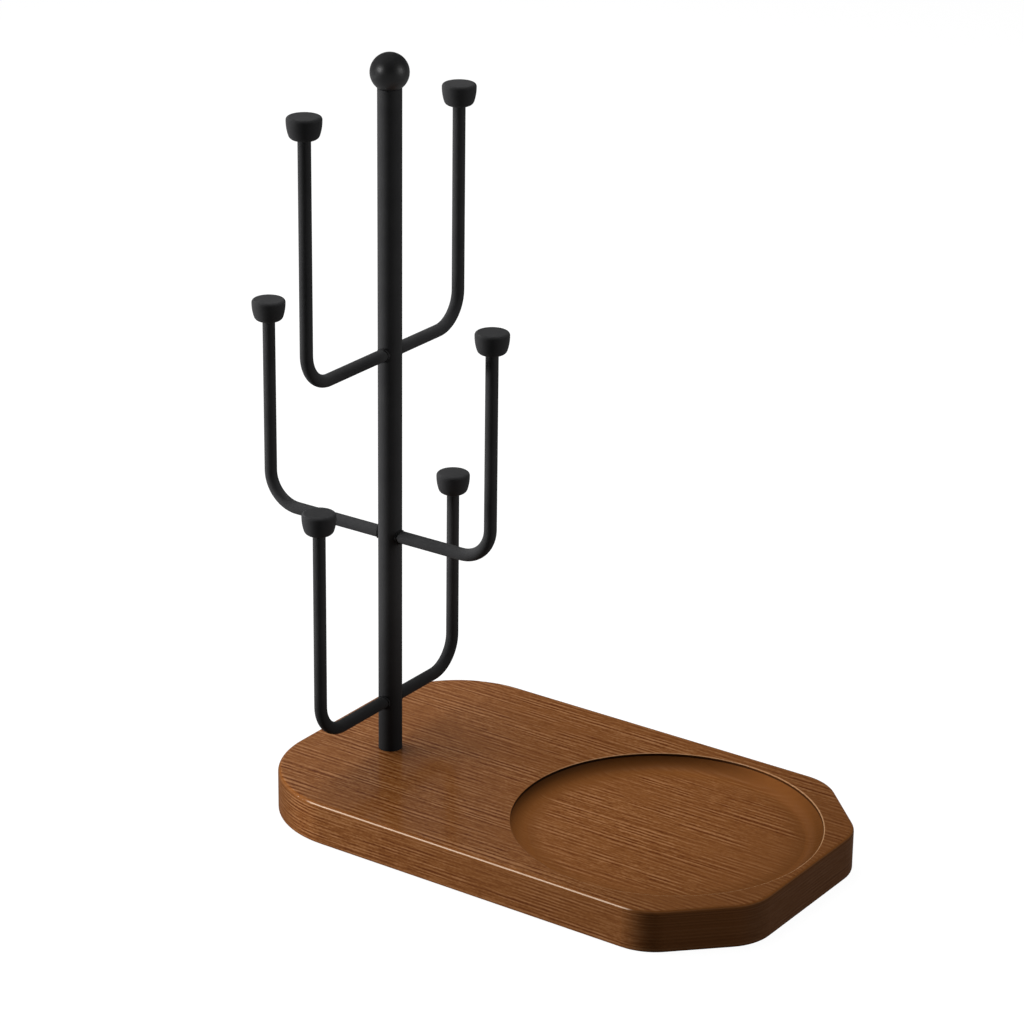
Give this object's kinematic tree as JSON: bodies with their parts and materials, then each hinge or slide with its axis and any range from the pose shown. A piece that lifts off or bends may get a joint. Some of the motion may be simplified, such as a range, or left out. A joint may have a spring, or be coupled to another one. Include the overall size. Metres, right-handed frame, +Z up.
{
  "type": "mug tree",
  "caption": "Mug tree: an upright post with bent hook arms and rounded end caps, on a wooden board with clipped corners and a round recess.",
  "frame": {"origin": "on the table, in the middle of the underside of the board", "axes": "+X along the board towards the recess end, -Y towards the front, +Z up along the post"},
  "size_m": [0.3214, 0.172, 0.383],
  "materials": {
    "walnut_board": "walnut stain under satin varnish",
    "black_coat": "fine matt powder coat",
    "black_ball": "satin",
    "black_cap": "matt",
    "zinc_steel": "zinc plated"
  },
  "bodies": {
    "root": {"base_board": "walnut_board", "post_tube": "black_coat", "ball_finial": "black_ball", "finial_stud": "zinc_steel", "post_foot_plug": "zinc_steel", "post_top_plug": "zinc_steel", "base_bolt": "zinc_steel", "base_washer": "zinc_steel", "arm_upper_front": "black_coat", "arm_upper_back": "black_coat", "arm_middle_right": "black_coat", "arm_middle_left": "black_coat", "arm_lower_front": "black_coat", "arm_lower_back": "black_coat", "cap_upper_front": "black_cap", "cap_upper_back": "black_cap", "cap_middle_right": "black_cap", "cap_middle_left": "black_cap", "cap_lower_front": "black_cap", "cap_lower_back": "black_cap"}
  },
  "joints": []
}
